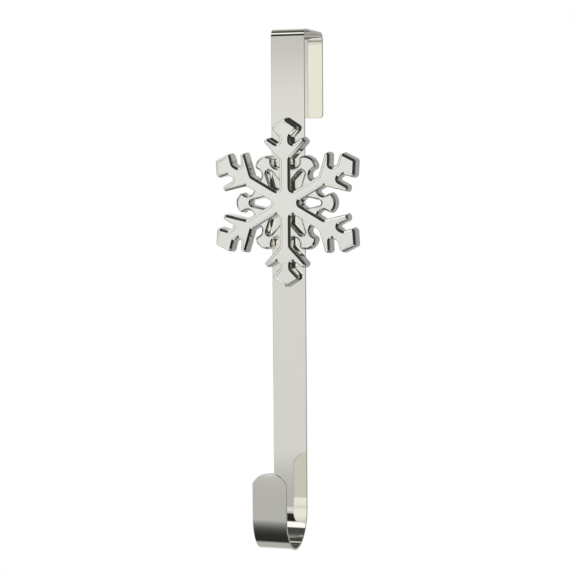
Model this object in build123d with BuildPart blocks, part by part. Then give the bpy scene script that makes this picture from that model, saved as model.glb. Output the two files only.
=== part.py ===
"""Over-the-door wreath hanger with a cast snowflake on its front.

One flat metal strap is bent square over the top of a door and rolled into
a round hook at its lower end. A six-armed snowflake casting sits on the
front of the strap and is held by two countersunk screws from behind.

Millimetres, +Z up. The origin is the middle of the underside of the top
band, where the hanger rests on the door. The front faces -Y.
"""

import os
from math import atan2, cos, degrees, radians, sin, sqrt, tan

from build123d import *

# Strap: one strip of flat metal
strap_width = 25.4
strap_thickness = 1.5
door_gap = 46.0          # inside width over the door, for a 44.45 mm door
total_height = 376.0     # top of the band to the bottom of the hook
rear_leg_length = 63.7   # top of the band to the end of the rear leg
bend_inside_radius = 4.2
rear_corner_radius = 2.5
strap_edge_bevel = 0.3

# Hook at the lower end of the strap
hook_inside_radius = 24.5
hook_tip_rise = 33.2     # straight leg above the middle of the bow
hook_tip_arc_radius = 14.0

# Snowflake casting
snowflake_drop = 126.0   # top of the band to the middle of the snowflake
arm_count = 6
arm_thickness = 9.5
petal_step = 1.5         # petals stand this far behind the arms
draft_angle = 6.5
bevel_inset = 1.85       # bevel along the front edges of the arms
bevel_drop = 1.2

# One arm, from its tip inwards
tip_reach = 61.1
head_half_width = 9.1
head_slope = 6.0         # tip to shoulder, along the arm
head_side = 2.2          # shoulder to hip
head_underside = 5.1     # hip to neck
neck_length = 7.0        # neck to notch
stem_half_width = 4.0
prong_rise = 6.0         # notch to the prong's top corner
prong_top_across = 9.3
prong_end_fall = 2.3     # top corner to the prong's point
prong_end_across = 2.8
prong_underside = 12.9   # the prong's point to its root
hub_corner_radius = 2.4

# One petal: distances out from the middle, and across from the petal's own middle line
petal_reach = 37.6
petal_head_radius = 8.3
petal_lobe_half_width = 6.7
petal_lobe_radius = 2.2
petal_notch_radius = 4.8
petal_notch_offset = 9.8
petal_notch_end = 280.0  # degrees round the notch, to a point inside the arm
petal_root = 3.0         # each leg of a petal runs this far into its arm
petal_root_start = 15.0
petal_root_end = 29.0
slot_reach = 26.8
slot_end_radius = 2.2
slot_flare = 13.0        # degrees, each side of the slot
slot_mouth_reach = 13.0

# Countersunk screws from behind, into blind holes in the casting
screw_radius = 1.5
screw_head_radius = 2.8
screw_rim = 0.1
screw_recess = 0.05      # head sits this far below the back of the strap
screw_length = 8.0
screw_reach = 36.0       # each screw's distance from the middle
strap_hole_clearance = 0.15
countersink_clearance = 0.05
thread_clearance = 0.05
blind_hole_spare = 0.8
drive_slot_width = 0.8
drive_slot_length = 2.8
drive_slot_depth = 0.9
drive_slot_taper = 8.0

# Faces and heights worked out from the sizes above
strap_back_y = -door_gap / 2
strap_front_y = strap_back_y - strap_thickness
rear_leg_y = door_gap / 2 + strap_thickness / 2
front_leg_y = strap_back_y - strap_thickness / 2
band_top_z = strap_thickness
band_mid_z = strap_thickness / 2
bend_mid_radius = bend_inside_radius + strap_thickness / 2
rear_leg_end_z = band_top_z - rear_leg_length
hook_bottom_z = band_top_z - total_height
hook_mid_radius = hook_inside_radius + strap_thickness / 2
hook_middle_z = hook_bottom_z + strap_thickness + hook_inside_radius
hook_middle_y = front_leg_y - hook_mid_radius
hook_leg_y = hook_middle_y - hook_mid_radius
hook_tip_z = hook_middle_z + hook_tip_rise
snowflake_z = band_top_z - snowflake_drop

# The snowflake's seat on the strap, seen from the front
seat_plane = Plane(origin=(0, strap_front_y, snowflake_z), x_dir=(1, 0, 0), z_dir=(0, -1, 0))
arm_face_plane = seat_plane.offset(arm_thickness)
petal_thickness = arm_thickness - petal_step
petal_face_plane = seat_plane.offset(petal_thickness)

# The same place seen from behind, where the screws go in
screw_places = [(0, screw_reach), (0, -screw_reach)]
strap_back_plane = Plane(origin=(0, strap_back_y, snowflake_z), x_dir=(-1, 0, 0), z_dir=(0, 1, 0))
strap_front_plane = strap_back_plane.offset(-strap_thickness)
screw_head_plane = strap_back_plane.offset(-screw_recess)
countersink_radius = screw_head_radius + screw_rim + screw_recess + countersink_clearance
blind_hole_depth = screw_length + screw_recess - strap_thickness + blind_hole_spare


# Strap: the strip's section with its eased edges, carried along its bent middle line
with BuildPart() as strap:
    with BuildLine():
        over_door = FilletPolyline(
            (0, rear_leg_y, rear_leg_end_z),
            (0, rear_leg_y, band_mid_z),
            (0, front_leg_y, band_mid_z),
            (0, front_leg_y, hook_middle_z),
            radius=bend_mid_radius,
        )
        hook_bow = ThreePointArc(
            over_door @ 1,
            (0, hook_middle_y, hook_middle_z - hook_mid_radius),
            (0, hook_leg_y, hook_middle_z),
        )
        Line(hook_bow @ 1, (0, hook_leg_y, hook_tip_z))
    with BuildSketch(Plane(origin=over_door @ 0, x_dir=(1, 0, 0), z_dir=(0, 0, 1))):
        strap_section = Rectangle(strap_width, strap_thickness)
        chamfer(strap_section.vertices(), strap_edge_bevel)
    sweep()

    # Round end of the hook
    with BuildSketch(Plane.XZ.offset(-hook_leg_y - strap_thickness)):
        with Locations((0, hook_tip_z)):
            Rectangle(2 * strap_width, 2 * hook_tip_arc_radius)
        with Locations((0, hook_tip_z - hook_tip_arc_radius)):
            Circle(hook_tip_arc_radius, mode=Mode.SUBTRACT)
    extrude(amount=2 * strap_thickness, mode=Mode.SUBTRACT)

    # Rounded corners at the end of the rear leg
    with BuildSketch(Plane.XZ.offset(-rear_leg_y - strap_thickness)):
        with Locations((0, rear_leg_end_z)):
            Rectangle(2 * strap_width, 2 * rear_corner_radius)
        with Locations((0, rear_leg_end_z + strap_width / 2)):
            RectangleRounded(strap_width, strap_width, rear_corner_radius, mode=Mode.SUBTRACT)
    extrude(amount=2 * strap_thickness, mode=Mode.SUBTRACT)

    # Holes for the snowflake's screws, countersunk at the back
    with Locations(strap_back_plane):
        with Locations(*screw_places):
            CounterSinkHole(
                radius=screw_radius + strap_hole_clearance,
                counter_sink_radius=countersink_radius,
                depth=strap_thickness,
                counter_sink_angle=90,
            )

strap.part.label = "strap"


# Snowflake arms: the outline of one, pointing up, then repeated round the middle
shoulder_reach = tip_reach - head_slope
hip_reach = shoulder_reach - head_side
neck_reach = hip_reach - head_underside
notch_reach = neck_reach - neck_length
prong_top_reach = notch_reach + prong_rise
prong_point_reach = prong_top_reach - prong_end_fall
prong_root_reach = prong_point_reach - prong_underside
prong_top_half_width = stem_half_width + prong_top_across
prong_point_half_width = prong_top_half_width + prong_end_across

with BuildSketch() as arm_outline:
    with BuildLine():
        Polyline(
            (0, 0),
            (stem_half_width, 0),
            (stem_half_width, prong_root_reach),
            (prong_point_half_width, prong_point_reach),
            (prong_top_half_width, prong_top_reach),
            (stem_half_width, notch_reach),
            (stem_half_width, neck_reach),
            (head_half_width, hip_reach),
            (head_half_width, shoulder_reach),
            (0, tip_reach),
            close=True,
        )
    make_face()
    mirror(about=Plane.YZ)

with BuildPart() as arms:
    with BuildSketch(arm_face_plane) as arms_outline:
        with PolarLocations(0, arm_count):
            add(arm_outline.sketch)
        hub_corners = arms_outline.vertices().sort_by_distance((0, 0, 0))[:arm_count]
        fillet(hub_corners, hub_corner_radius)
    extrude(amount=-arm_thickness, taper=-draft_angle)
    arm_face = arms.faces().sort_by(Axis.Y)[0]
    chamfer(arm_face.edges(), bevel_inset, bevel_drop, reference=arm_face)


# Petals between the arms: half of one, pointing up, then mirrored
head_middle = (0, petal_reach - petal_head_radius)
head_to_lobe = petal_head_radius - petal_lobe_radius
lobe_across = petal_lobe_half_width - petal_lobe_radius
lobe_out = head_middle[1] + sqrt(head_to_lobe**2 - lobe_across**2)
lobe_to_notch = petal_lobe_radius + petal_notch_radius
notch_shift = petal_notch_offset - lobe_across
notch_out = lobe_out - sqrt(lobe_to_notch**2 - notch_shift**2)
head_end = degrees(atan2(lobe_out - head_middle[1], lobe_across))
lobe_end = degrees(atan2(notch_out - lobe_out, notch_shift))
notch_start = lobe_end + 180
half_spacing = radians(180 / arm_count)
root_offset = stem_half_width - petal_root


def inside_arm(reach):
    """A point inside the next arm, this far out along it."""
    across = reach * sin(half_spacing) - root_offset * cos(half_spacing)
    out = reach * cos(half_spacing) + root_offset * sin(half_spacing)
    return (across, out)


# The slot between a petal's legs: a round end and sides that flare to the hub
slot_end_out = slot_reach - slot_end_radius
flare = radians(slot_flare)
slot_side_start = (slot_end_radius * cos(flare), slot_end_out + slot_end_radius * sin(flare))
slot_mouth_half_width = slot_side_start[0] + tan(flare) * (slot_side_start[1] - slot_mouth_reach)

with BuildSketch() as petal_outline:
    with BuildLine():
        CenterArc(head_middle, petal_head_radius, 90, head_end - 90)
        CenterArc((lobe_across, lobe_out), petal_lobe_radius, head_end, lobe_end - head_end)
        notch_arc = CenterArc(
            (petal_notch_offset, notch_out),
            petal_notch_radius,
            notch_start,
            petal_notch_end - notch_start,
        )
        Polyline(
            notch_arc @ 1,
            inside_arm(petal_root_end),
            inside_arm(petal_root_start),
            (slot_mouth_half_width, slot_mouth_reach),
            slot_side_start,
        )
        CenterArc((0, slot_end_out), slot_end_radius, slot_flare, 90 - slot_flare)
        Line((0, slot_reach), (0, petal_reach))
    make_face()
    mirror(about=Plane.YZ)

with BuildPart() as petals:
    with BuildSketch(petal_face_plane):
        with PolarLocations(0, arm_count, start_angle=180 / arm_count):
            add(petal_outline.sketch)
    extrude(amount=-petal_thickness, taper=-draft_angle)


# The casting: arms and petals in one, with blind holes for the screws
with BuildPart() as snowflake:
    add(arms.part)
    add(petals.part)
    with Locations(strap_front_plane):
        with Locations(*screw_places):
            Hole(radius=screw_radius + thread_clearance, depth=blind_hole_depth)

snowflake.part.label = "snowflake"


# One screw, turned about its own axis with its head face at zero height
cone_end = screw_rim + screw_head_radius - screw_radius

with BuildPart() as screw:
    with BuildSketch(Plane.XZ) as screw_half:
        with BuildLine():
            Polyline(
                (0, 0),
                (screw_head_radius, 0),
                (screw_head_radius, -screw_rim),
                (screw_radius, -cone_end),
                (screw_radius, -screw_length),
                (0, -screw_length),
                close=True,
            )
        make_face()
    revolve(axis=Axis.Z)
    with BuildSketch() as drive_cross:
        Rectangle(drive_slot_length, drive_slot_width)
        Rectangle(drive_slot_width, drive_slot_length)
    extrude(amount=-drive_slot_depth, taper=drive_slot_taper, mode=Mode.SUBTRACT)

with BuildPart() as fixing_screws:
    with Locations(screw_head_plane):
        with Locations(*screw_places):
            add(screw.part)

fixing_screws.part.label = "fixing_screws"


os.makedirs("parts", exist_ok=True)
export_step(strap.part, "parts/strap.step")
export_step(snowflake.part, "parts/snowflake.step")
export_step(fixing_screws.part, "parts/fixing_screws.step")
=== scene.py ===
"""Wreath hanger: the polished strap, the cast snowflake on its front, its two screws and the studio."""

from math import asin, atan2, ceil, cos, degrees, pi, radians, sin, sqrt, tan

import bmesh
import bpy
from bpy.props import FloatProperty, FloatVectorProperty, IntProperty, PointerProperty
from mathutils import Matrix, Vector


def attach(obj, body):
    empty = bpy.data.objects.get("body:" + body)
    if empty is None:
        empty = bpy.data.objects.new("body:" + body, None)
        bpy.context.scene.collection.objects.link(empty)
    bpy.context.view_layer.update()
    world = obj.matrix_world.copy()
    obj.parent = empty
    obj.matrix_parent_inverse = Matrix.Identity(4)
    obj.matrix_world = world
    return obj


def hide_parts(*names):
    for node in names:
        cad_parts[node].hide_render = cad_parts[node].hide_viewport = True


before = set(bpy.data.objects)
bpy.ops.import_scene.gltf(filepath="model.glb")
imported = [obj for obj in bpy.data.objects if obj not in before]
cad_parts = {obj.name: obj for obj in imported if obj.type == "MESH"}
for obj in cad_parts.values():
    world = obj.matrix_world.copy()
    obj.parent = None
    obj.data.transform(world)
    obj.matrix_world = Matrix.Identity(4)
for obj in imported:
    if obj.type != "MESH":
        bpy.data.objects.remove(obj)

bl_info = {
    "name": "Wreath Hanger",
    "version": (1, 0, 0),
    "blender": (4, 5, 0),
    "location": "3D View > Sidebar > Hanger",
    "description": "Builds an over-the-door wreath hanger with a cast snowflake",
    "category": "Add Mesh",
}

MM = 0.001
WELD = 0.002 * MM
SHARP_ANGLE = radians(32)
FACE_WEIGHT = 90
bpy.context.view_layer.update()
BODY = "root"


def length(name, description, millimetres):
    """A size that a user can change, given in millimetres and kept in metres."""
    default = millimetres * MM
    return FloatProperty(name=name, description=description, default=default, unit="LENGTH", precision=5)


def turn(name, description, angle):
    """An angle that a user can change, given in degrees."""
    return FloatProperty(name=name, description=description, default=radians(angle), unit="ROTATION")


def share(name, description, value):
    """A plain number between nought and one."""
    return FloatProperty(name=name, description=description, default=value, min=0, max=1, subtype="FACTOR")


def colour(name, description, red, green, blue):
    """A colour that a user can change."""
    return FloatVectorProperty(
        name=name, description=description, default=(red, green, blue), min=0, max=1, subtype="COLOR"
    )


class StrapSizes(bpy.types.PropertyGroup):
    """The bent strip of metal."""

    width: length("Width", "Width of the strip", 25.4)
    thickness: length("Thickness", "Thickness of the strip", 1.5)
    door_gap: length("Door gap", "Inside width over the door", 46.0)
    height: length("Height", "Top of the band to the bottom of the hook", 376.0)
    rear_leg: length("Rear leg", "Top of the band to the end of the rear leg", 63.7)
    bend: length("Bend radius", "Inside radius of the two bends over the door", 4.2)
    rear_corner: length("Rear corners", "Corner radius at the end of the rear leg", 2.5)
    hook: length("Hook radius", "Inside radius of the hook", 24.5)
    tip_rise: length("Tip rise", "Straight leg above the middle of the hook", 33.2)
    tip_arc: length("Tip arc", "Radius of the round end of the hook", 14.0)
    edge: length("Edge round", "Radius of the rounded edges", 0.3)


class SnowflakeSizes(bpy.types.PropertyGroup):
    """The snowflake casting, seen from the front."""

    drop: length("Drop", "Top of the band to the middle of the snowflake", 126.0)
    arms: IntProperty(name="Arms", description="Number of arms", default=6, min=3, max=12)
    thickness: length("Thickness", "Back of the casting to the face of an arm", 9.5)
    petal_step: length("Petal step", "How far the petals stand behind the arms", 1.5)
    draft: turn("Draft", "Lean of the cast walls", 6.5)
    bevel_inset: length("Bevel inset", "How far the front bevel runs onto the face", 1.75)
    bevel_drop: length("Bevel drop", "How far the front bevel runs down the wall", 1.2)
    petal_bevel: length("Petal bevel", "How far the bevel runs onto a petal's face", 1.2)
    face_edge: length("Face edge", "Radius of the round between face and bevel", 0.8)
    wall_edge: length("Wall edge", "Radius of the round between bevel and wall", 1.7)
    back_edge: length("Back edge", "Radius of the edges round the seat", 0.3)
    stem: length("Stem", "Half the width of an arm", 4.0)
    tip: length("Tip", "Middle to the tip of an arm", 61.1)
    head: length("Head", "Half the width of an arm's head", 9.1)
    shoulder: length("Shoulder", "Middle to the shoulder of the head", 55.1)
    hip: length("Hip", "Middle to the hip of the head", 52.9)
    neck: length("Neck", "Middle to the neck under the head", 47.8)
    notch: length("Notch", "Middle to the notch over the barb", 40.8)
    barb_top_across: length("Barb top across", "Stem's middle line to the barb's top corner", 13.3)
    barb_top_out: length("Barb top out", "Middle to the barb's top corner", 46.8)
    barb_point_across: length("Barb point across", "Stem's middle line to the barb's point", 16.1)
    barb_point_out: length("Barb point out", "Middle to the barb's point", 44.5)
    barb_root: length("Barb root", "Middle to the barb's lower root", 31.6)
    corner: length("Corners", "Radius of the outer corners", 1.3)
    neck_round: length("Neck round", "Radius at the neck", 3.0)
    notch_round: length("Notch round", "Radius in the notch", 2.2)
    root_round: length("Root round", "Radius under the barb", 2.0)
    hub_round: length("Hub round", "Radius between two arms at the hub", 2.4)
    petal: length("Petal", "Middle to the top of a petal", 37.6)
    petal_head: length("Petal head", "Radius of a petal's head", 8.3)
    lobe_across: length("Lobe across", "Half the width across a petal's lobes", 6.7)
    lobe: length("Lobe", "Radius of a petal's lobe", 2.2)
    bay: length("Bay", "Radius of the bay under a lobe", 4.8)
    bay_across: length("Bay across", "Petal's middle line to the middle of the bay", 9.8)
    bay_end: turn("Bay end", "How far round the bay runs, to a point inside the arm", 280.0)
    root_in: length("Root", "How far a petal's leg runs into its arm", 3.0)
    root_start: length("Root start", "Inner end of a petal's root along its arm", 15.0)
    root_end: length("Root end", "Outer end of a petal's root along its arm", 29.0)
    slot: length("Slot", "Middle to the round end of a petal's slot", 26.8)
    slot_round: length("Slot round", "Radius of the slot's round end", 2.2)
    slot_flare: turn("Slot flare", "Flare of each side of the slot", 13.0)
    slot_mouth: length("Slot mouth", "Middle to the mouth of the slot", 13.0)


class ScrewSizes(bpy.types.PropertyGroup):
    """The two countersunk screws from behind."""

    radius: length("Radius", "Radius over the thread", 1.5)
    head: length("Head", "Radius of the head", 2.8)
    rim: length("Rim", "Height of the straight rim of the head", 0.1)
    recess: length("Recess", "How far the head sits below the back of the strap", 0.05)
    screw_length: length("Length", "Overall length", 8.0)
    reach: length("Reach", "Snowflake's middle to each screw", 36.0)
    pitch: length("Pitch", "Pitch of the thread", 0.5)
    thread: length("Thread depth", "Depth of the thread", 0.27)
    hole_clearance: length("Hole clearance", "Play round the shank in the strap", 0.15)
    sink_clearance: length("Sink clearance", "Play round the head in its countersink", 0.05)
    thread_clearance: length("Thread clearance", "Play round the thread in the casting", 0.05)
    spare: length("Spare depth", "Depth of the hole beyond the screw's point", 0.8)
    drive_long: length("Drive length", "Length of the drive cross", 2.8)
    drive_wide: length("Drive width", "Width of the drive cross", 0.8)
    drive_deep: length("Drive depth", "Depth of the drive cross", 0.9)


class Finishes(bpy.types.PropertyGroup):
    """Colours of the three metals."""

    strap: colour("Strap", "Warm polished nickel of the strap", 0.90, 0.89, 0.83)
    strap_warm: colour("Strap, warm", "The strap's warmer stretches", 0.89, 0.88, 0.80)
    strap_gloss: share("Strap roughness", "Roughness of the strap", 0.04)
    cast: colour("Casting", "Paler polish of the snowflake", 0.93, 0.925, 0.88)
    cast_warm: colour("Casting, warm", "The casting's warmer stretches", 0.92, 0.91, 0.86)
    cast_gloss: share("Casting roughness", "Roughness of the casting's polish", 0.05)
    cast_back: share("Casting back roughness", "Roughness of the casting's unpolished back", 0.42)
    screw: colour("Screws", "Zinc plating", 0.62, 0.63, 0.65)
    screw_gloss: share("Screw roughness", "Roughness of the plating", 0.28)


class Studio(bpy.types.PropertyGroup):
    """The camera, the floor and the grey card."""

    camera: FloatVectorProperty(
        name="Camera", description="Place of the camera", default=(0.38091, -1.25247, -0.09939),
        subtype="TRANSLATION", unit="LENGTH", precision=5,
    )
    heading: turn("Heading", "How far the camera is turned round the hanger", 17.3337)
    pitch: turn("Pitch", "How far the camera looks down", 3.8287)
    roll: turn("Roll", "How far the camera is tipped sideways", -0.3981)
    lens: FloatProperty(name="Lens", description="Focal length in millimetres", default=110.926)
    card: length("Card height", "Height of the grey card under the top hook", -80)
    card_reach: length("Card reach", "How far the card reaches out to the left", 40)
    card_level: share("Card level", "Brightness of the card", 0.45)
    floor: length("Floor", "Height of the floor", -900.0)
    floor_size: length("Floor size", "Side of the floor", 24000.0)


# Outlines: anticlockwise lists of points with tangent arcs


class Edge:
    """A point of an outline. Moved inward past its own corner's radius, it lands on the mitre."""

    def __init__(self, at, out, radius=0.0, mitre=None):
        self.at = Vector(at)
        self.out = Vector(out)
        self.radius = radius
        self.mitre = Vector(mitre) if mitre else None

    def moved(self, outset):
        """The point's place when the whole outline grows by this much."""
        spare = -outset - self.radius
        if self.mitre is None or spare <= 0:
            return self.at + self.out * outset
        return self.at - self.out * self.radius - self.mitre * spare

    def mirrored(self):
        """The same point on the left."""
        mitre = (-self.mitre.x, self.mitre.y) if self.mitre else None
        return Edge((-self.at.x, self.at.y), (-self.out.x, self.out.y), self.radius, mitre)


def turned(vector, angle):
    """A flat vector turned anticlockwise."""
    across = vector.x * cos(angle) - vector.y * sin(angle)
    up = vector.x * sin(angle) + vector.y * cos(angle)
    return Vector((across, up))


def arc(middle, radius, start, end, hollow=False, step=radians(9)):
    """Points along an arc between two angles; a hollow arc has its metal outside."""
    count = max(2, ceil(abs(end - start) / step))
    mitre = turned(Vector((1, 0)), (start + end) / 2) / cos((end - start) / 2)
    points = []
    for i in range(count + 1):
        outward = turned(Vector((1, 0)), start + (end - start) * i / count)
        at = Vector(middle) + outward * radius
        points.append(Edge(at, -outward) if hollow else Edge(at, outward, radius, mitre))
    return points


def corner(before, at, after, radius):
    """Points round one corner of an outline."""
    way_in = (Vector(at) - Vector(before)).normalized()
    way_out = (Vector(after) - Vector(at)).normalized()
    swing = atan2(way_in.cross(way_out), way_in.dot(way_out))
    normal = Vector((way_in.y, -way_in.x))
    side = 1 if swing > 0 else -1
    start = Vector(at) - way_in * radius * tan(abs(swing) / 2)
    middle = start - normal * radius * side
    first = atan2(normal.y * side, normal.x * side)
    return arc(middle, radius, first, first + swing, hollow=side < 0)


def corners(points, radii):
    """Rounds every inner corner of an open run of points."""
    outline = []
    for before, at, after, radius in zip(points, points[1:], points[2:], radii):
        outline += corner(before, at, after, radius)
    return outline


def mirrored(outline):
    """The left half that closes a right half."""
    return [point.mirrored() for point in reversed(outline)]


# Meshes


def join_rows(mesh, rows, closed=True):
    """Faces between rows of as many points each."""
    size = len(rows[0])
    for near, far in zip(rows, rows[1:]):
        for i in range(size if closed else size - 1):
            j = (i + 1) % size
            mesh.faces.new((near[i], near[j], far[j], far[i]))


def close_rows(mesh, rows):
    """A closed body from rings of points."""
    join_rows(mesh, rows)
    mesh.faces.new(rows[0])
    mesh.faces.new(rows[-1])


def skin(mesh, outline, steps, place, closed=True):
    """A wall that follows an outline, with one row of points for each (outset, depth) step."""
    rows = []
    for outset, depth in steps:
        rows.append([mesh.verts.new(place(point.moved(outset), depth)) for point in outline])
    join_rows(mesh, rows, closed)
    return rows


def quarter_round(radius, depth, outset, count=6):
    """Steps from a face round its edge to its wall."""
    steps = []
    for i in range(count + 1):
        angle = pi / 2 * i / count
        steps.append((outset - radius + radius * sin(angle), depth + radius - radius * cos(angle)))
    return steps


def new_object(name, mesh):
    """A linked object with a mesh made from a bmesh, its faces turned outward."""
    bmesh.ops.recalc_face_normals(mesh, faces=mesh.faces)
    data = bpy.data.meshes.new(name)
    mesh.to_mesh(data)
    mesh.free()
    item = bpy.data.objects.new(name, data)
    bpy.context.scene.collection.objects.link(item)
    return item


def freeze(item):
    """Turns the object's modifiers into plain mesh."""
    graph = bpy.context.evaluated_depsgraph_get()
    graph.update()
    plain = bpy.data.meshes.new_from_object(item.evaluated_get(graph), depsgraph=graph)
    item.modifiers.clear()
    item.data = plain
    plain.name = item.name


def combine(item, tool, operation):
    """Joins or cuts with another closed mesh, which is used up."""
    step = item.modifiers.new(operation.title(), "BOOLEAN")
    step.operation = operation
    step.solver = "EXACT"
    step.object = tool
    freeze(item)
    bpy.data.objects.remove(tool)


def smooth(item):
    """Smooth shading whose normals follow the large faces, with crisp edges kept."""
    item.data.shade_smooth()
    item.data.set_sharp_from_angle(angle=SHARP_ANGLE)
    weighted = item.modifiers.new("Weighted normals", "WEIGHTED_NORMAL")
    weighted.keep_sharp = True
    weighted.weight = FACE_WEIGHT
    freeze(item)


def turned_shape(name, profile, count=48):
    """A closed shape turned about Y from (radius, y) points that start and end on the axis."""
    mesh = bmesh.new()
    rings = []
    for radius, y in profile:
        if radius == 0:
            rings.append([mesh.verts.new((0, y, 0))])
            continue
        ring = []
        for i in range(count):
            angle = 2 * pi * i / count
            ring.append(mesh.verts.new((radius * cos(angle), y, radius * sin(angle))))
        rings.append(ring)
    for near, far in zip(rings, rings[1:]):
        for i in range(count):
            j = (i + 1) % count
            face = [near[i % len(near)], near[j % len(near)], far[j % len(far)], far[i % len(far)]]
            mesh.faces.new(list(dict.fromkeys(face)))
    return new_object(name, mesh)


# Geometry Nodes


def tree_with_inputs(name, inputs):
    """An empty node tree with a mesh going in and out, and named inputs."""
    tree = bpy.data.node_groups.new(name, "GeometryNodeTree")
    tree.is_modifier = True
    tree.interface.new_socket("Mesh", in_out="INPUT", socket_type="NodeSocketGeometry")
    for label, kind in inputs:
        tree.interface.new_socket(label, in_out="INPUT", socket_type=kind)
    tree.interface.new_socket("Mesh", in_out="OUTPUT", socket_type="NodeSocketGeometry")
    return tree, tree.nodes.new("NodeGroupInput"), tree.nodes.new("NodeGroupOutput")


def finish_tree(tree, inputs, outputs, instances, weld):
    """Makes instances real, welds them where they meet and gives them their material."""
    real = tree.nodes.new("GeometryNodeRealizeInstances")
    tree.links.new(instances, real.inputs["Geometry"])
    last = real.outputs["Geometry"]
    if weld:
        merge = tree.nodes.new("GeometryNodeMergeByDistance")
        merge.inputs["Distance"].default_value = weld
        tree.links.new(last, merge.inputs["Geometry"])
        last = merge.outputs["Geometry"]
    paint = tree.nodes.new("GeometryNodeSetMaterial")
    tree.links.new(last, paint.inputs["Geometry"])
    tree.links.new(inputs.outputs["Material"], paint.inputs["Material"])
    tree.links.new(paint.outputs["Geometry"], outputs.inputs["Mesh"])


def round_tree():
    """Repeats a mesh round the Y axis and sets the ring of copies in its place."""
    tree, inputs, outputs = tree_with_inputs(
        "Repeat round an axis",
        [
            ("Count", "NodeSocketInt"),
            ("First angle", "NodeSocketFloat"),
            ("Middle", "NodeSocketVector"),
            ("Material", "NodeSocketMaterial"),
        ],
    )
    points = tree.nodes.new("GeometryNodePoints")
    tree.links.new(inputs.outputs["Count"], points.inputs["Count"])
    tree.links.new(inputs.outputs["Middle"], points.inputs["Position"])
    spacing = tree.nodes.new("ShaderNodeMath")
    spacing.operation = "DIVIDE"
    spacing.inputs[0].default_value = 2 * pi
    tree.links.new(inputs.outputs["Count"], spacing.inputs[1])
    index = tree.nodes.new("GeometryNodeInputIndex")
    angle = tree.nodes.new("ShaderNodeMath")
    angle.operation = "MULTIPLY_ADD"
    tree.links.new(index.outputs["Index"], angle.inputs[0])
    tree.links.new(spacing.outputs["Value"], angle.inputs[1])
    tree.links.new(inputs.outputs["First angle"], angle.inputs[2])
    about_y = tree.nodes.new("ShaderNodeCombineXYZ")
    tree.links.new(angle.outputs["Value"], about_y.inputs["Y"])
    copies = tree.nodes.new("GeometryNodeInstanceOnPoints")
    tree.links.new(points.outputs["Geometry"], copies.inputs["Points"])
    tree.links.new(inputs.outputs["Mesh"], copies.inputs["Instance"])
    tree.links.new(about_y.outputs["Vector"], copies.inputs["Rotation"])
    finish_tree(tree, inputs, outputs, copies.outputs["Instances"], WELD)
    return tree


def row_tree():
    """Repeats a mesh along a straight row."""
    tree, inputs, outputs = tree_with_inputs(
        "Repeat along a row",
        [
            ("Count", "NodeSocketInt"),
            ("First place", "NodeSocketVector"),
            ("Step", "NodeSocketVector"),
            ("Material", "NodeSocketMaterial"),
        ],
    )
    row = tree.nodes.new("GeometryNodeMeshLine")
    tree.links.new(inputs.outputs["Count"], row.inputs["Count"])
    tree.links.new(inputs.outputs["First place"], row.inputs["Start Location"])
    tree.links.new(inputs.outputs["Step"], row.inputs["Offset"])
    copies = tree.nodes.new("GeometryNodeInstanceOnPoints")
    tree.links.new(row.outputs["Mesh"], copies.inputs["Points"])
    tree.links.new(inputs.outputs["Mesh"], copies.inputs["Instance"])
    finish_tree(tree, inputs, outputs, copies.outputs["Instances"], 0)
    return tree


def repeat(item, tree, values):
    """Runs a node tree on the object with the named values, then keeps the plain mesh."""
    step = item.modifiers.new(tree.name, "NODES")
    step.node_group = tree
    for socket in tree.interface.items_tree:
        if socket.in_out == "INPUT" and socket.name in values:
            step[socket.identifier] = values[socket.name]
    freeze(item)


# Materials


class Painter:
    """Builds one material's node tree."""

    def __init__(self, name):
        self.material = bpy.data.materials.new(name)
        self.material.use_nodes = True
        self.nodes = self.material.node_tree.nodes
        self.links = self.material.node_tree.links
        self.shader = self.nodes["Principled BSDF"]
        self.place = self.nodes.new("ShaderNodeTexCoord").outputs["Object"]

    def noise(self, scale, stretch=(1, 1, 1), detail=3.0):
        """Noise from nought to one, with its features so many to the metre."""
        mapping = self.nodes.new("ShaderNodeMapping")
        mapping.inputs["Scale"].default_value = stretch
        self.links.new(self.place, mapping.inputs["Vector"])
        texture = self.nodes.new("ShaderNodeTexNoise")
        texture.inputs["Scale"].default_value = scale
        texture.inputs["Detail"].default_value = detail
        self.links.new(mapping.outputs["Vector"], texture.inputs["Vector"])
        return texture.outputs["Fac"]

    def range(self, value, low, high, to_low, to_high):
        """A value carried from one range to another."""
        node = self.nodes.new("ShaderNodeMapRange")
        for name, number in (("From Min", low), ("From Max", high), ("To Min", to_low), ("To Max", to_high)):
            node.inputs[name].default_value = number
        self.links.new(value, node.inputs["Value"])
        return node.outputs["Result"]

    def sum(self, first, second, operation="ADD"):
        """Two values combined."""
        node = self.nodes.new("ShaderNodeMath")
        node.operation = operation
        self.links.new(first, node.inputs[0])
        self.links.new(second, node.inputs[1])
        return node.outputs["Value"]

    def blend(self, factor, first, second):
        """A colour between two others."""
        node = self.nodes.new("ShaderNodeMix")
        node.data_type = "RGBA"
        node.inputs["A"].default_value = (*first, 1)
        node.inputs["B"].default_value = (*second, 1)
        self.links.new(factor, node.inputs["Factor"])
        return node.outputs["Result"]

    def axis(self, name):
        """One coordinate of the place on the object."""
        node = self.nodes.new("ShaderNodeSeparateXYZ")
        self.links.new(self.place, node.inputs["Vector"])
        return node.outputs[name]

    def bump(self, height, distance):
        """Gives the surface its relief."""
        node = self.nodes.new("ShaderNodeBump")
        node.inputs["Distance"].default_value = distance
        self.links.new(height, node.inputs["Height"])
        self.links.new(node.outputs["Normal"], self.shader.inputs["Normal"])

    def set(self, name, source):
        """Feeds one input of the shader from a node, or sets it."""
        if isinstance(source, bpy.types.NodeSocket):
            self.links.new(source, self.shader.inputs[name])
        else:
            self.shader.inputs[name].default_value = source


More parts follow.
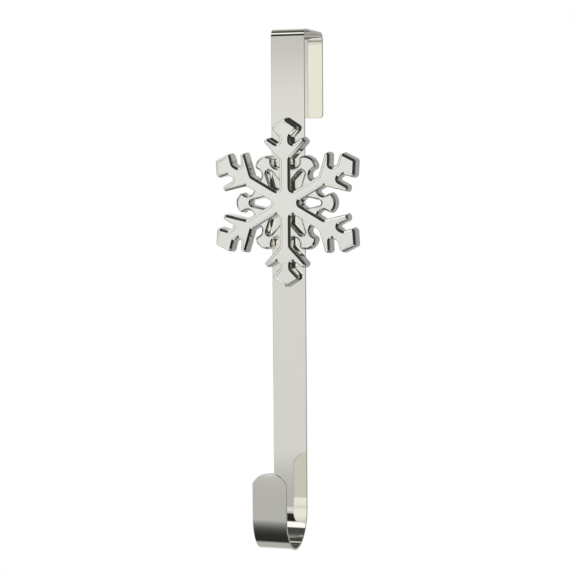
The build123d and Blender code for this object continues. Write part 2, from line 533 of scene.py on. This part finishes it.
def strap_metal(finish):
    """Bright nickel over rolled steel: a slow waviness, and fine drawing lines along the strip."""
    paint = Painter("strap_metal")
    paint.set("Metallic", 1.0)
    clouds = paint.noise(26)
    lines = paint.noise(60, stretch=(60, 0.6, 0.6), detail=2.0)
    paint.set("Base Color", paint.blend(clouds, finish.strap, finish.strap_warm))
    mixed = paint.sum(lines, clouds, "MULTIPLY")
    paint.set("Roughness", paint.range(mixed, 0.1, 0.4, finish.strap_gloss * 0.75, finish.strap_gloss * 1.25))
    paint.bump(paint.noise(22, stretch=(1, 0.5, 0.5), detail=1.0), 0.012 * MM)
    return paint.material


def cast_metal(finish, seat):
    """Polished casting in front; behind, on the seat, the plain unpolished skin."""
    paint = Painter("cast_metal")
    paint.set("Metallic", 1.0)
    clouds = paint.noise(45)
    grain = paint.noise(900, detail=4.0)
    polish_ends = (seat - 0.2 * MM, seat - 0.05 * MM)
    unpolished = paint.range(paint.axis("Y"), *polish_ends, 0.0, 1.0)
    paint.set("Base Color", paint.blend(clouds, finish.cast, finish.cast_warm))
    polish = paint.range(grain, 0.3, 0.7, finish.cast_gloss * 0.8, finish.cast_gloss * 1.2)
    rough = paint.range(unpolished, 0.0, 1.0, 0.0, finish.cast_back)
    paint.set("Roughness", paint.sum(polish, rough))
    relief = paint.sum(grain, unpolished, "MULTIPLY")
    slow = paint.noise(60, detail=1.0)
    paint.bump(paint.sum(slow, relief), 0.01 * MM)
    return paint.material


def screw_steel(finish):
    """Dull zinc plating."""
    paint = Painter("screw_steel")
    paint.set("Metallic", 1.0)
    mottle = paint.noise(700)
    darker = [part * 0.8 for part in finish.screw]
    paint.set("Base Color", paint.blend(mottle, finish.screw, darker))
    paint.set("Roughness", paint.range(mottle, 0.3, 0.7, finish.screw_gloss * 0.8, finish.screw_gloss * 1.3))
    paint.bump(paint.noise(2500), 0.01 * MM)
    return paint.material


# Strap


def strap_runs(sizes):
    """The middle line as (start, heading, length, turn) runs, from the end of the rear leg."""
    bend = sizes.bend + sizes.thickness / 2
    bow = sizes.hook + sizes.thickness / 2
    side = sizes.door_gap / 2 + sizes.thickness / 2
    top = sizes.thickness / 2
    foot = sizes.thickness - sizes.rear_leg
    hook_middle = sizes.thickness - sizes.height + sizes.thickness + sizes.hook
    at = Vector((side, foot))
    heading = pi / 2
    runs = []
    for distance, swing, radius in (
        (top - bend - foot, pi / 2, bend),
        (2 * (side - bend), pi / 2, bend),
        (top - bend - hook_middle, -pi, bow),
        (sizes.tip_rise, 0, 0),
    ):
        runs.append((at.copy(), heading, distance, 0))
        at += Vector((cos(heading), sin(heading))) * distance
        if swing:
            runs.append((at.copy(), heading, abs(swing) * radius, swing))
            side_way = turned(Vector((cos(heading), sin(heading))), pi / 2 if swing > 0 else -pi / 2)
            middle = at + side_way * radius
            at = middle + turned(at - middle, swing)
            heading += swing
    return runs


def on_strap(runs, s, q):
    """The (y, z) place at distance s along the middle line and q out to its right."""
    for start, heading, distance, swing in runs:
        if s <= distance or (start, heading, distance, swing) == runs[-1]:
            break
        s -= distance
    along = Vector((cos(heading), sin(heading)))
    if swing:
        radius = distance / abs(swing)
        middle = start + turned(along, pi / 2 if swing > 0 else -pi / 2) * radius
        angle = swing * s / distance
        at = middle + turned(start - middle, angle)
        along = turned(along, angle)
    else:
        at = start + along * s
    return at + turned(along, -pi / 2) * q


def strap_stations(sizes, runs):
    """The right half of the flat blank's outline, with points where the strip bends."""
    half = sizes.width / 2
    total = sum(run[2] for run in runs)
    bend_step = radians(6)
    bow_step = radians(2.5)
    straight_parts = 8
    outline = corner((0, 0), (half, 0), (half, total), sizes.rear_corner)
    side = Vector((1, 0))
    along = 0
    for start, heading, distance, swing in runs[:-1]:
        step = bow_step if swing < 0 else bend_step
        count = ceil(abs(swing) / step) if swing else straight_parts
        for i in range(count + 1 if swing else 1):
            outline.append(Edge((half, along + distance * i / count), side))
        if not swing and along > 0:
            for i in range(1, count):
                outline.append(Edge((half, along + distance * i / count), side))
        along += distance
    arc_middle = total - sizes.tip_arc
    shoulder = asin(half / sizes.tip_arc)
    tip = arc((0, arc_middle), sizes.tip_arc, pi / 2 - shoulder, pi / 2 - radians(2), step=radians(4))
    one_at_each_height = {round(point.at.y, 7): point for point in outline[1:]}
    rising = [point for height, point in sorted(one_at_each_height.items()) if height > 0]
    return [point for point in outline[:1] + rising if point.at.y < tip[0].at.y - sizes.edge] + tip


def make_strap(sizes, flake, screws, finish):
    """The strip, bent, with rounded edges, corners and end, and two countersunk holes."""
    runs = strap_runs(sizes)
    right = strap_stations(sizes, runs)
    outline = right + mirrored(right)
    half = sizes.thickness / 2
    front = [(outset, depth - half) for outset, depth in quarter_round(sizes.edge, 0, 0, count=4)]
    steps = front + [(outset, -depth) for outset, depth in reversed(front)]

    def place(at, depth):
        y, z = on_strap(runs, at.y, -depth)
        return (at.x, y, z)

    mesh = bmesh.new()
    rows = skin(mesh, outline, steps, place)
    last = len(outline) - 1
    for row in (rows[0], rows[-1]):
        for i in range(len(right) - 1):
            mesh.faces.new((row[i], row[i + 1], row[last - i - 1], row[last - i]))
    strap = new_object("hanger_strap", mesh)

    back = -sizes.door_gap / 2
    sink = screws.head + screws.rim + screws.recess + screws.sink_clearance
    bore = screws.radius + screws.hole_clearance
    over = 1 * MM
    for z in screw_heights(sizes, flake, screws):
        profile = [
            (0, back + over), (sink + over, back + over), (bore, back - (sink - bore)),
            (bore, back - sizes.thickness - over), (0, back - sizes.thickness - over),
        ]
        tool = turned_shape("hole", profile)
        tool.data.transform(Matrix.Translation((0, 0, z)))
        combine(strap, tool, "DIFFERENCE")
    smooth(strap)
    strap.data.materials.clear()
    strap.data.materials.append(strap_metal(finish))
    return strap


# Snowflake


def arm_half(flake):
    """Right half of one arm, pointing up, from the middle of the hub corner to the tip."""
    spacing = pi / flake.arms
    hub = flake.stem / sin(spacing)
    hub_arc = Vector((sin(spacing), cos(spacing))) * (hub + flake.hub_round / sin(spacing))
    ray = pi / 2 - spacing
    start = arc(hub_arc, flake.hub_round, ray + pi, pi, hollow=True)
    points = [
        (flake.stem, 0),
        (flake.stem, flake.barb_root),
        (flake.barb_point_across, flake.barb_point_out),
        (flake.barb_top_across, flake.barb_top_out),
        (flake.stem, flake.notch),
        (flake.stem, flake.neck),
        (flake.head, flake.hip),
        (flake.head, flake.shoulder),
        (0, flake.tip),
    ]
    radii = [
        flake.root_round,
        flake.corner,
        flake.corner,
        flake.notch_round,
        flake.neck_round,
        flake.corner,
        flake.corner,
    ]
    return start + corners(points, radii)


def arm_outline(flake):
    """One whole arm, with its rounded tip."""
    right = arm_half(flake)
    tip = corner((flake.head, flake.shoulder), (0, flake.tip), (-flake.head, flake.shoulder), flake.corner)
    return right + tip + mirrored(right)


def petal_outline(flake):
    """One petal: a round head with two lobes, on two legs that run into the arms."""
    head = Vector((0, flake.petal - flake.petal_head))
    across = flake.lobe_across - flake.lobe
    lobe = Vector((across, head.y + sqrt((flake.petal_head - flake.lobe) ** 2 - across**2)))
    shift = flake.bay_across - across
    bay = Vector((flake.bay_across, lobe.y - sqrt((flake.lobe + flake.bay) ** 2 - shift**2)))
    head_end = atan2(lobe.y - head.y, across)
    lobe_end = atan2(bay.y - lobe.y, shift)

    spacing = pi / flake.arms
    offset = flake.stem - flake.root_in

    def inside_arm(reach):
        """A point inside the next arm, this far out along it."""
        return Vector((
            reach * sin(spacing) - offset * cos(spacing),
            reach * cos(spacing) + offset * sin(spacing),
        ))

    slot_middle = Vector((0, flake.slot - flake.slot_round))
    slot = arc(slot_middle, flake.slot_round, pi / 2, flake.slot_flare, hollow=True)
    slot_side = slot[-1].at
    mouth = Vector((slot_side.x + tan(flake.slot_flare) * (slot_side.y - flake.slot_mouth), flake.slot_mouth))
    bay_arc = arc(bay, flake.bay, flake.bay_end, lobe_end + pi, hollow=True)
    inner = inside_arm(flake.root_start)
    outer = inside_arm(flake.root_end)
    run = (slot_side, mouth, inner, outer, bay_arc[0].at)
    root = []
    for before, at, after in zip(run, run[1:], run[2:]):
        way = (at - before).normalized() + (after - at).normalized()
        root.append(Edge(at, Vector((way.y, -way.x)).normalized()))
    lobe_arc = arc(lobe, flake.lobe, lobe_end, head_end)
    head_arc = arc(head, flake.petal_head, head_end, pi / 2)
    right = slot + root + bay_arc + lobe_arc[1:] + head_arc[1:]
    return right + mirrored(right)[1:-1]


def cast_steps(flake, thickness, inset):
    """Outset and depth down one wall: the front bevel, the drafted wall and the seat's edge."""
    lean = tan(flake.draft)
    profile = [
        (-inset - flake.face_edge, 0),
        (-inset, 0),
        (flake.bevel_drop * lean, flake.bevel_drop),
        (thickness * lean, thickness),
        (thickness * lean - flake.back_edge, thickness),
    ]
    radii = (flake.face_edge, flake.wall_edge, flake.back_edge)
    steps = []
    for before, at, after, radius in zip(profile, profile[1:], profile[2:], radii):
        steps += [tuple(point.at) for point in corner(before, at, after, radius)]
    return steps


def make_snowflake(sizes, flake, screws, finish, tree):
    """The casting: six arms and six petals between them, one step back, joined in one."""
    seat = -sizes.door_gap / 2 - sizes.thickness
    middle = (0, seat, sizes.thickness - flake.drop)
    material = cast_metal(finish, seat)

    def cast(name, outline, thickness, inset, first_angle, sector):
        """One repeated part of the casting."""
        mesh = bmesh.new()

        def place(at, depth):
            return (at.x, depth - thickness, at.y)

        rows = skin(mesh, outline, cast_steps(flake, thickness, inset), place, closed=not sector)
        front, back = rows[0], rows[-1]
        if sector:
            front = front + [mesh.verts.new((0, -thickness, 0))]
            back = back + [mesh.verts.new((0, 0, 0))]
        mesh.faces.new(front)
        mesh.faces.new(back)
        bmesh.ops.remove_doubles(mesh, verts=mesh.verts, dist=WELD / 2)
        item = new_object(name, mesh)
        repeat(item, tree, {
            "Count": flake.arms, "First angle": first_angle, "Middle": middle, "Material": material,
        })
        return item

    snowflake = cast("hanger_snowflake", arm_outline(flake), flake.thickness, flake.bevel_inset, 0.0, True)
    petal_thickness = flake.thickness - flake.petal_step
    petals = cast("petals", petal_outline(flake), petal_thickness, flake.petal_bevel, pi / flake.arms, False)
    combine(snowflake, petals, "UNION")

    over = 0.5 * MM
    deep = screws.screw_length + screws.recess - sizes.thickness + screws.spare
    bore = screws.radius + screws.thread_clearance
    for z in screw_heights(sizes, flake, screws):
        profile = [(0, seat + over), (bore, seat + over), (bore, seat - deep), (0, seat - deep - bore / 2)]
        tool = turned_shape("hole", profile)
        tool.data.transform(Matrix.Translation((0, 0, z)))
        combine(snowflake, tool, "DIFFERENCE")
    smooth(snowflake)
    snowflake.data.materials.clear()
    snowflake.data.materials.append(material)
    return snowflake


# Screws


def screw_heights(sizes, flake, screws):
    """Heights of the two screws."""
    middle = sizes.thickness - flake.drop
    return (middle + screws.reach, middle - screws.reach)


def screw_body(screws):
    """One screw without its drive: a countersunk head, a real thread and a short blunt point."""
    steps_round = 32
    steps_a_turn = 8
    cone = screws.rim + screws.head - screws.radius
    point = 0.6 * MM
    threaded = screws.screw_length - cone - point
    run_in = 1 / 6
    rows = int(threaded / screws.pitch * steps_a_turn)
    rings = []
    for radius, y in ((screws.head, 0), (screws.head, -screws.rim), (screws.radius, -cone)):
        rings.append([(radius, y)] * steps_round)
    for row in range(1, rows + 1):
        down = row / rows
        ring = []
        for i in range(steps_round):
            phase = (row / steps_a_turn + i / steps_round) % 1
            valley = abs(2 * phase - 1) * min(1, down / run_in)
            ring.append((screws.radius - screws.thread * valley, -cone - threaded * down))
        rings.append(ring)
    rings.append([(screws.radius - point, -screws.screw_length)] * steps_round)

    mesh = bmesh.new()
    grid = []
    for ring in rings:
        line = []
        for i, (radius, y) in enumerate(ring):
            angle = 2 * pi * i / steps_round
            line.append(mesh.verts.new((radius * cos(angle), y, radius * sin(angle))))
        grid.append(line)
    close_rows(mesh, grid)
    return new_object("hanger_screws", mesh)


def drive_cross(screws):
    """The tapered cross that is cut into a screw's head."""
    half_long = screws.drive_long / 2
    half_wide = screws.drive_wide / 2
    outline = []
    for quarter in range(4):
        for place in ((half_long, -half_wide), (half_long, half_wide), (half_wide, half_wide)):
            outline.append(turned(Vector(place), quarter * pi / 2))
    over = 0.2 * MM
    narrow = 0.45
    mesh = bmesh.new()
    rows = []
    for y, scale in ((over, 1.0), (0, 1.0), (-screws.drive_deep, narrow)):
        rows.append([mesh.verts.new((at.x * scale, y, at.y * scale)) for at in outline])
    close_rows(mesh, rows)
    return new_object("cross", mesh)


def make_screws(sizes, flake, screws, finish, tree):
    """Two countersunk screws with a cross in the head, put in from behind."""
    item = screw_body(screws)
    combine(item, drive_cross(screws), "DIFFERENCE")
    first, second = screw_heights(sizes, flake, screws)
    repeat(item, tree, {
        "Count": 2,
        "First place": (0, -sizes.door_gap / 2 - screws.recess, first),
        "Step": (0, 0, second - first),
        "Material": screw_steel(finish),
    })
    smooth(item)
    return item


# Studio


# The levels below are brightnesses at stops, where 1 is white

# The strap mirrors a narrow stripe of the room. This is its middle, out to the left, and its half width
# as (distance from the middle, share)
STRIPE_MIDDLE = 0.298
STRIPE_SHARE = ((0, 1.0), (0.055, 1.0), (0.09, 0.0), (1, 0.0))

# Along the stripe, in degrees up from the front, over the top and down to the back
UPWARD_LEVELS = (
    (0, 0.80), (2, 0.80), (3.2, 0.72), (4.2, 0.60), (9, 0.58), (13, 0.02), (37, 0.02), (41, 1.1),
    (57, 1.1), (61, 0.06), (84, 0.08), (100, 0.30), (115, 0.5), (130, 0.65), (145, 0.8), (157, 0.95),
    (168, 1.0),
)

# The same downwards from the front, under the hanger and up to the back
DOWNWARD_LEVELS = (
    (0, 0.80), (1.5, 0.80), (4, 0.74), (6.6, 0.73), (10.1, 0.72), (10.45, 0.50), (14, 0.48), (21, 0.33),
    (30, 0.20), (40, 0.10), (50, 0.055), (64, 0.03), (91, 0.025), (95, 0.14), (101, 0.46), (130, 0.48),
    (140, 0.80), (150, 1.05), (160, 1.05), (166, 0.70),
)

# In front, beside the stripe: bright at the lower left, dark at the upper right, and dark straight below
ROOM_SLANT = 0.55
FRONT_LEVELS = ((-1.3, 0.8), (-0.2, 0.85), (0.04, 1.0), (0.13, 0.04), (0.9, 0.04), (1.05, 0.2), (1.3, 0.25))
UNDER_SHARE = ((-1, 0.04), (-0.9, 0.05), (-0.82, 1.0), (1, 1.0))

# A dark gap between the stripe and the bright wall on the left
GAP_HEIGHTS = (-0.12, 0.46)
GAP_SHARE = ((-1, 1.0), (-0.84, 1.0), (-0.78, 0.03), (-0.40, 0.03), (-0.37, 1.0), (1, 1.0))

# A dim band low in the room, right of the stripe
DIM_HEIGHTS = (-0.6, -0.25)
DIM_SHARE = ((-1, 1.0), (-0.1, 1.0), (-0.03, 0.1), (0.3, 0.1), (1, 1.0))

# Behind, from the side to straight behind; the left is dark only round the middle height
BACK_RIGHT_LEVELS = ((0, 0.06), (0.35, 0.1), (0.7, 0.24), (0.85, 0.33), (1, 0.5))
BACK_LEFT_LEVELS = ((0, 0.5), (0.05, 0.03), (0.85, 0.03), (1, 0.15))
BACK_LEFT_LEVEL = 0.45
BACK_DARK_HEIGHTS = (-0.28, 0.28)


def studio_world():
    """Plain white for the camera and for matt surfaces, and for mirrors a bright room with dark parts."""
    world = bpy.data.worlds.new("Studio")
    world.use_nodes = True
    # Matt surfaces see an even white, so the light needs no map of where it is bright
    world.cycles.sampling_method = "NONE"
    nodes = world.node_tree.nodes
    links = world.node_tree.links
    nodes.clear()

    def math(operation, first, second=None):
        """A sum on nodes."""
        node = nodes.new("ShaderNodeMath")
        node.operation = operation
        for socket, value in zip(node.inputs, (first, second)):
            if isinstance(value, bpy.types.NodeSocket):
                links.new(value, socket)
            elif value is not None:
                socket.default_value = value
        return node.outputs["Value"]

    def levels(value, stops):
        """A brightness that runs through (value, level) stops."""
        low = stops[0][0]
        span = stops[-1][0] - low
        ramp = nodes.new("ShaderNodeValToRGB")
        elements = ramp.color_ramp.elements
        while len(elements) > 1:
            elements.remove(elements[-1])
        for i, (at, level) in enumerate(stops):
            element = elements[0] if i == 0 else elements.new((at - low) / span)
            element.position = (at - low) / span
            element.color = (level, level, level, 1)
        links.new(math("DIVIDE", math("SUBTRACT", value, float(low)), float(span)), ramp.inputs["Fac"])
        return ramp.outputs["Color"]

    def between(value, limits):
        """One between two limits, and nought outside them."""
        return math("MULTIPLY", math("GREATER_THAN", value, limits[0]), math("LESS_THAN", value, limits[1]))

    def mix(factor, first, second, mode="MIX"):
        """Two brightnesses mixed, each a number or a node's output."""
        node = nodes.new("ShaderNodeMix")
        node.data_type = "RGBA"
        node.blend_type = mode
        for name, value in (("Factor", factor), ("A", first), ("B", second)):
            if isinstance(value, bpy.types.NodeSocket):
                links.new(value, node.inputs[name])
            elif name == "Factor":
                node.inputs[name].default_value = value
            else:
                node.inputs[name].default_value = (value, value, value, 1)
        return node.outputs["Result"]

    direction = nodes.new("ShaderNodeSeparateXYZ")
    links.new(nodes.new("ShaderNodeTexCoord").outputs["Generated"], direction.inputs["Vector"])
    x, y, z = direction.outputs

    # What the strap mirrors: a stripe of the room, from the front over or under it to the back
    pitch = math("MULTIPLY", math("ARCTAN2", z, math("MULTIPLY", y, -1.0)), degrees(1))
    above = levels(pitch, UPWARD_LEVELS)
    below = levels(math("MULTIPLY", pitch, -1.0), DOWNWARD_LEVELS)
    stripe = mix(math("GREATER_THAN", z, 0.0), below, above)
    in_stripe = levels(math("ABSOLUTE", math("ADD", x, STRIPE_MIDDLE)), STRIPE_SHARE)

    # What the edges of the snowflake mirror: the room beside the stripe
    slant = math("ADD", x, math("MULTIPLY", z, ROOM_SLANT))
    front = mix(1.0, levels(slant, FRONT_LEVELS), levels(z, UNDER_SHARE), "MULTIPLY")
    gap = mix(between(z, GAP_HEIGHTS), 1.0, levels(x, GAP_SHARE))
    front = mix(1.0, front, gap, "MULTIPLY")
    dim = mix(between(z, DIM_HEIGHTS), 1.0, levels(x, DIM_SHARE))
    front = mix(1.0, front, dim, "MULTIPLY")
    behind_left = mix(between(z, BACK_DARK_HEIGHTS), BACK_LEFT_LEVEL, levels(y, BACK_LEFT_LEVELS))
    back = mix(math("LESS_THAN", x, -STRIPE_MIDDLE), levels(y, BACK_RIGHT_LEVELS), behind_left)
    room = mix(math("GREATER_THAN", y, 0.0), front, back)
    studio = mix(in_stripe, room, stripe)

    path = nodes.new("ShaderNodeLightPath")
    seen = mix(path.outputs["Is Glossy Ray"], 1.0, studio)
    background = nodes.new("ShaderNodeBackground")
    links.new(seen, background.inputs["Color"])
    links.new(background.outputs["Background"], nodes.new("ShaderNodeOutputWorld").inputs["Surface"])
    bpy.context.scene.world = world


def stage_sheet(name, low, high, height, node_kind, input_name, value):
    """A flat sheet of the stage between two (x, y) corners, with a shader that has one input set."""
    mesh = bmesh.new()
    places = ((low[0], low[1]), (high[0], low[1]), (high[0], high[1]), (low[0], high[1]))
    mesh.faces.new([mesh.verts.new((x, y, height)) for x, y in places])
    sheet = new_object(name, mesh)
    material = bpy.data.materials.new(name)
    material.use_nodes = True
    nodes = material.node_tree.nodes
    nodes.clear()
    shader = nodes.new(node_kind)
    shader.inputs[input_name].default_value = value
    output = nodes.new("ShaderNodeOutputMaterial")
    material.node_tree.links.new(shader.outputs[0], output.inputs["Surface"])
    sheet.data.materials.append(material)
    return sheet


def make_floor(studio):
    """A plain pale floor, below the hanger, that the metal doesn't mirror."""
    half = studio.floor_size / 2
    white = (1, 1, 1, 1)
    low = (-half, -half)
    high = (half, half)
    floor = stage_sheet("pale floor", low, high, studio.floor, "ShaderNodeBsdfDiffuse", "Color", white)
    floor.visible_glossy = False


def make_card(studio, gap):
    """A grey card under the top hook, where the door would be: only mirrors see it."""
    low = (-studio.card_reach, -gap / 2)
    high = (gap / 2, gap / 2)
    level = studio.card_level
    card = stage_sheet("grey card", low, high, studio.card, "ShaderNodeEmission", "Strength", level)
    card.visible_camera = False
    card.visible_diffuse = False
    card.visible_shadow = False
    card.visible_transmission = False


def make_camera(studio):
    """The camera at the photograph's place."""
    right = Vector((cos(studio.heading), sin(studio.heading), 0))
    level = Vector((-sin(studio.heading), cos(studio.heading), 0))
    up = Vector((0, 0, cos(studio.pitch))) + level * sin(studio.pitch)
    forward = level * cos(studio.pitch) - Vector((0, 0, sin(studio.pitch)))
    tipped_right = right * cos(studio.roll) + up * sin(studio.roll)
    tipped_up = up * cos(studio.roll) - right * sin(studio.roll)
    data = bpy.data.cameras.new("Camera")
    data.lens = studio.lens
    data.clip_start = 0.01
    camera = bpy.data.objects.new("Camera", data)
    axes = Matrix((tipped_right, tipped_up, -forward)).transposed().to_4x4()
    camera.matrix_world = Matrix.Translation(studio.camera) @ axes
    bpy.context.scene.collection.objects.link(camera)
    bpy.context.scene.camera = camera


# Operators


class HANGER_OT_strap(bpy.types.Operator):
    """Builds the bent strap."""

    bl_idname = "hanger.strap"
    bl_label = "Strap"

    def execute(self, context):
        scene = context.scene
        strap = make_strap(scene.hanger_strap, scene.hanger_flake, scene.hanger_screws, scene.hanger_finish)
        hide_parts("strap")
        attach(strap, BODY)
        return {"FINISHED"}


class HANGER_OT_snowflake(bpy.types.Operator):
    """Builds the snowflake casting."""

    bl_idname = "hanger.snowflake"
    bl_label = "Snowflake"

    def execute(self, context):
        scene = context.scene
        snowflake = make_snowflake(
            scene.hanger_strap, scene.hanger_flake, scene.hanger_screws, scene.hanger_finish, round_tree()
        )
        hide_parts("snowflake")
        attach(snowflake, BODY)
        return {"FINISHED"}


class HANGER_OT_screws(bpy.types.Operator):
    """Builds the two screws behind the snowflake."""

    bl_idname = "hanger.screws"
    bl_label = "Screws"

    def execute(self, context):
        scene = context.scene
        screws = make_screws(
            scene.hanger_strap, scene.hanger_flake, scene.hanger_screws, scene.hanger_finish, row_tree()
        )
        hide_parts("fixing_screws")
        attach(screws, BODY)
        return {"FINISHED"}


class HANGER_OT_stage(bpy.types.Operator):
    """Sets up the floor, the light and the camera."""

    bl_idname = "hanger.stage"
    bl_label = "Stage"

    def execute(self, context):
        studio_world()
        make_floor(context.scene.hanger_studio)
        make_card(context.scene.hanger_studio, context.scene.hanger_strap.door_gap)
        make_camera(context.scene.hanger_studio)
        context.scene.view_settings.view_transform = "Standard"
        return {"FINISHED"}


class HANGER_PT_panel(bpy.types.Panel):
    """Lists the pieces of the hanger."""

    bl_label = "Wreath hanger"
    bl_idname = "HANGER_PT_panel"
    bl_space_type = "VIEW_3D"
    bl_region_type = "UI"
    bl_category = "Hanger"

    def draw(self, context):
        for name in OPERATORS:
            self.layout.operator("hanger." + name)
        for group in GROUPS:
            box = self.layout.box()
            values = getattr(context.scene, group)
            for name in values.bl_rna.properties.keys():
                if name not in ("rna_type", "name"):
                    box.prop(values, name)


OPERATORS = ("strap", "snowflake", "screws", "stage")

GROUPS = {
    "hanger_strap": StrapSizes,
    "hanger_flake": SnowflakeSizes,
    "hanger_screws": ScrewSizes,
    "hanger_finish": Finishes,
    "hanger_studio": Studio,
}

CLASSES = (
    *GROUPS.values(),
    HANGER_OT_strap,
    HANGER_OT_snowflake,
    HANGER_OT_screws,
    HANGER_OT_stage,
    HANGER_PT_panel,
)


def register():
    """Makes the sizes, the operators and the panel known."""
    for item in CLASSES:
        bpy.utils.register_class(item)
    for name, group in GROUPS.items():
        setattr(bpy.types.Scene, name, PointerProperty(type=group))


def unregister():
    """Takes them away again."""
    for name in GROUPS:
        delattr(bpy.types.Scene, name)
    for item in reversed(CLASSES):
        bpy.utils.unregister_class(item)


def main():
    """Builds every piece in order."""
    register()
    for name in OPERATORS:
        getattr(bpy.ops.hanger, name)()


if __name__ == "__main__":
    main()
